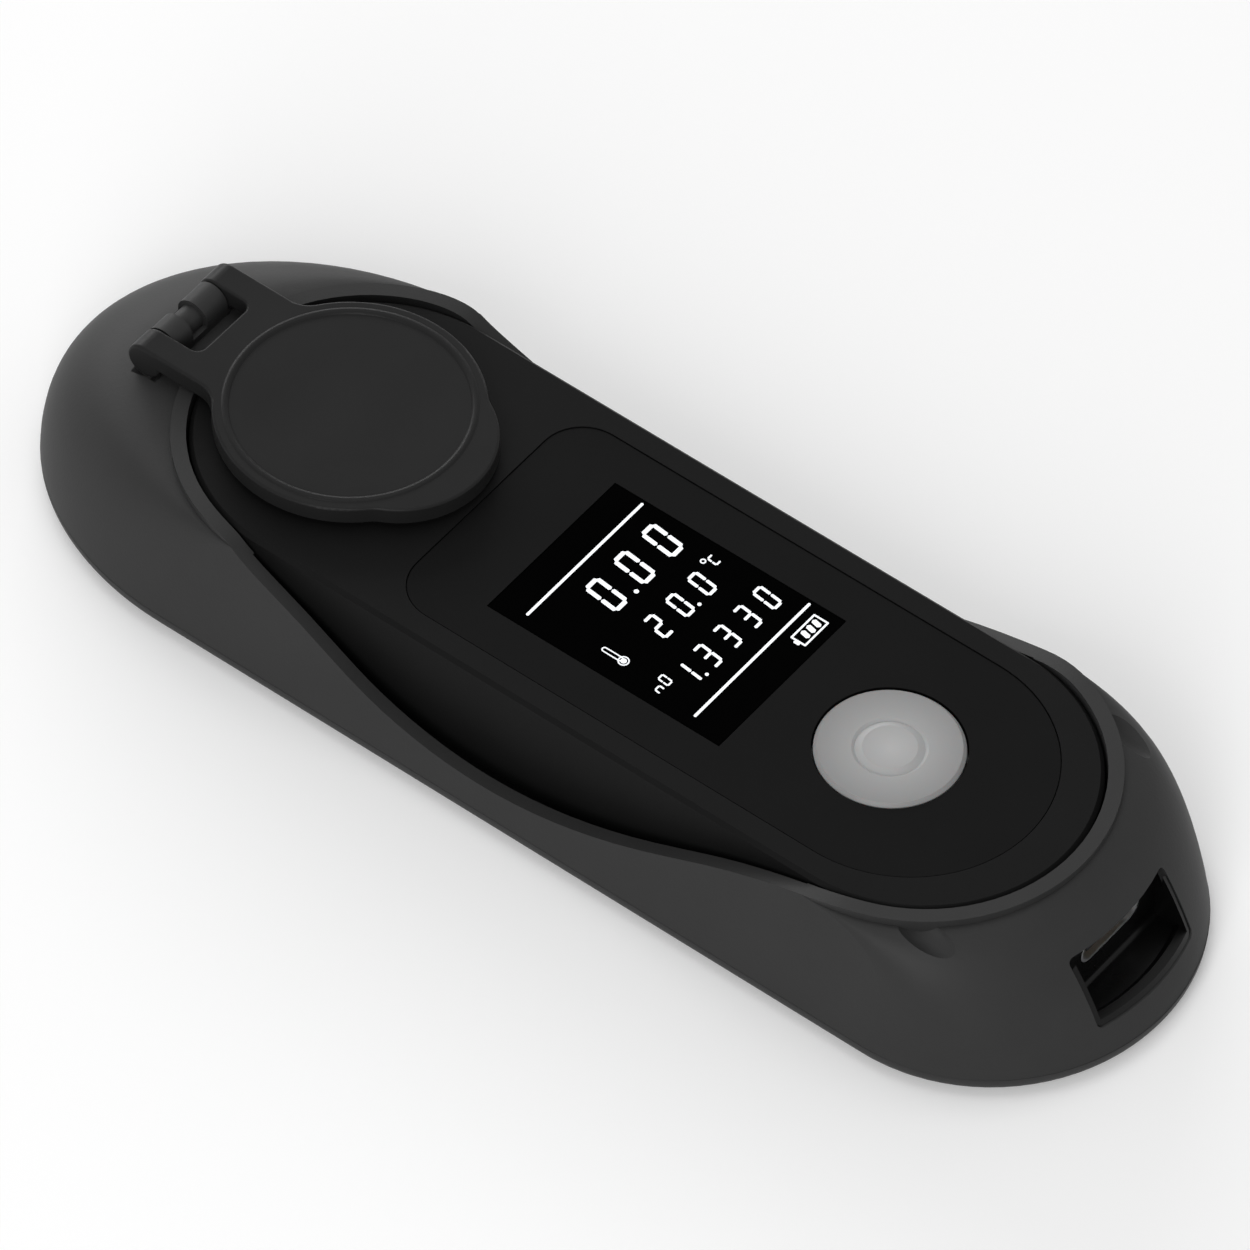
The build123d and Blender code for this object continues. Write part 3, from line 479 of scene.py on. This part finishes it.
# Battery: an outline of four strokes with its terminal at the left, and slanted bars for the charge.
cell_left, cell_right, cell_bottom, cell_top, cell_line = 4.95, 8.45, -12.5, -10.9, 0.2
cell_middle = (cell_bottom + cell_top) / 2
for y in (cell_bottom, cell_top):
    level_stroke = ink(cell_right - cell_left + cell_line, cell_line, pointed_ends)
    readout.append(put(level_stroke, (cell_left + cell_right) / 2, y, math.pi / 2))
for x in (cell_left, cell_right):
    readout.append(put(ink(cell_top - cell_bottom, cell_line, pointed_ends), x, cell_middle))
terminal_height, terminal_width, terminal_step = 0.7, 0.3, 0.25
terminal = ink(terminal_height, terminal_width, pointed_ends)
readout.append(put(terminal, cell_left - terminal_step, cell_middle))
charge_bars, charge_pitch, charge_slant, charge_margin = 3, 0.85, 0.2, 0.7
charge_height, charge_width = 1.1, 0.55
for number in range(charge_bars):
    charge_x = cell_right - charge_margin - number * charge_pitch
    readout.append(put(ink(charge_height, charge_width, pointed_ends), charge_x, cell_middle, -charge_slant))
reading = join_pieces(readout, "display_reading")

# Lit segments: cool white, even, and a little brighter than white paper.
reading.data.materials.append(finish(
    "segments_lit_white", ("#eef1f3", "#f6f8f9"), flow_marks, roughness=(0.5, 0.6), Specular_IOR_Level=0.1,
    Emission_Color=(0.9, 0.95, 1.0, 1.0), Emission_Strength=0.35))
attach(reading, "housing")


# Key.
# One round key of translucent grey silicone, compression-moulded, with a skirt under the foil as its spring.
# It sits in the round hole of the foil and pushes the switch on the board.

# Silicone: light grey and soft, with a broad dull highlight, and a painted highlight that makes it lighter
# towards its middle.
key_low, key_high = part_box("button")
key_middle = Vector(((key_low.x + key_high.x) / 2, (key_low.y + key_high.y) / 2, key_high.z))
key_radius = (key_high.x - key_low.x) / 2
# A spherical gradient paints a highlight on the key, lightest over its middle.
painted_middle_highlight = ("ShaderNodeTexGradient", {"gradient_type": "SPHERICAL"}, "Fac")
dress(finish("silicone_translucent_grey", ("#7e7e7e", "#b0b0b0"), painted_middle_highlight, roughness=(0.5, 0.42),
             grain=(1 / key_radius, 1 / key_radius, 1 / key_radius), centre=key_middle,
             Specular_IOR_Level=0.3, Subsurface_Weight=0.15, Subsurface_Scale=0.001), "button")


# Measuring head.
# A turned stainless dish with a glass prism in its floor, and below it the black optical block.
# A lamp lights the prism from one side, and a lens throws the shadow line on the sensor at the other.

# Facing cuts leave rings 0.08 mm apart round the dish, drawn at 0.25 mm so that they show.
turning_rings = ("ShaderNodeTexWave", {"wave_type": "RINGS", "rings_direction": "Z", "Scale": 1256.0,
                                       "Distortion": 0.3}, "Fac")
well_low, well_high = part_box("sample_well")
well_middle = (well_low + well_high) / 2
dress(finish("stainless_steel_turned", ("#a9aaa8", "#bcbdbb"), turning_rings, roughness=(0.2, 0.28),
             depth_mm=0.0015, centre=well_middle, Metallic=1.0), "sample_well")

# Polished optical glass: clear and bright, with a strong edge reflection.
dress(finish("optical_glass_polished", ("#f2f6f5", "#f7faf9"), flow_marks, roughness=(0.0, 0.01),
             Transmission_Weight=1.0, IOR=1.72), "prism", "lens")

# Glass-filled polycarbonate: black and dull, so that it swallows stray light.
dress(finish("polycarbonate_glass_filled_black", ("#0d0d0e", "#171718"), spark_grain,
             roughness=(0.6, 0.7), depth_mm=0.01, Specular_IOR_Level=0.3), "optical_block")

# Cast epoxy: water-clear with a faint warm tint.
dress(finish("epoxy_clear_cast", ("#f3e7c4", "#f8eed2"), flow_marks, roughness=(0.02, 0.06),
             Transmission_Weight=0.85, IOR=1.54), "lamp")

# Polyimide film: amber over copper lines 0.5 mm apart that run along it.
flex_lines = ("ShaderNodeTexWave", {"wave_type": "BANDS", "bands_direction": "X", "Scale": 628.0}, "Fac")
dress(finish("polyimide_film_over_copper", ("#7a3f10", "#c07a2e"), flex_lines, roughness=(0.25, 0.35),
             depth_mm=0.01, Specular_IOR_Level=0.5), "sensor_flex")

# Glass-coated bead: dark blue-grey and shiny.
dress(finish("thermistor_bead_dipped", ("#20262e", "#2b323b"), flow_marks, roughness=(0.12, 0.2),
             depth_mm=0.01, Specular_IOR_Level=0.5), "temperature_sensor")


# Screws.
# Small cross-head screws of zinc-plated steel, cold-headed, with rolled threads.
# They hold the case halves, the main board and the measuring head.

# Zinc plate: cool bright grey, a little cloudy.
zinc_bloom = ("ShaderNodeTexNoise", {"Scale": 1500.0, "Detail": 3.0, "Roughness": 0.6}, "Fac")
dress(finish("steel_zinc_plated", ("#9da1a5", "#b9bdc0"), zinc_bloom, roughness=(0.28, 0.42), depth_mm=0.003,
             Metallic=1.0), "case_screws", "board_screws", "optics_screws")


# Soft skin over the whole instrument.
# A thermoplastic elastomer shell, moulded in one piece and stretched over the hard case.

# Elastomer: dark neutral grey, matt, with a fine spark-eroded grain and a broad soft sheen.
dress(finish("tpe_elastomer_matt", ("#272727", "#2f2f2f"), flow_marks, spark_grain, roughness=(0.48, 0.56),
             depth_mm=0.012, Specular_IOR_Level=0.15), "outer_shell")


# Lid and hinge pin.
# The lid is black ABS, moulded in one piece with its two hinge arms and its finger bead.
# It turns on a ground steel pin that runs through the barrel of the shell.

# Satin ABS: charcoal, smoother than the case top, so that its edges catch a soft line of light.
dress(finish("abs_black_satin", ("#1b1b1b", "#212121"), flow_marks, spark_grain, roughness=(0.34, 0.41),
             depth_mm=0.004, Specular_IOR_Level=0.08), "lid")

# Ground pin: bright steel with fine marks round it, so they run across its length.
dress(finish("stainless_steel_ground", ("#a8a9aa", "#c4c5c6"), drawn_streaks, roughness=(0.15, 0.22),
             depth_mm=0.001, grain=(1.0, 0.1, 0.1), Metallic=1.0), "hinge_pin")


bpy.context.view_layer.update()
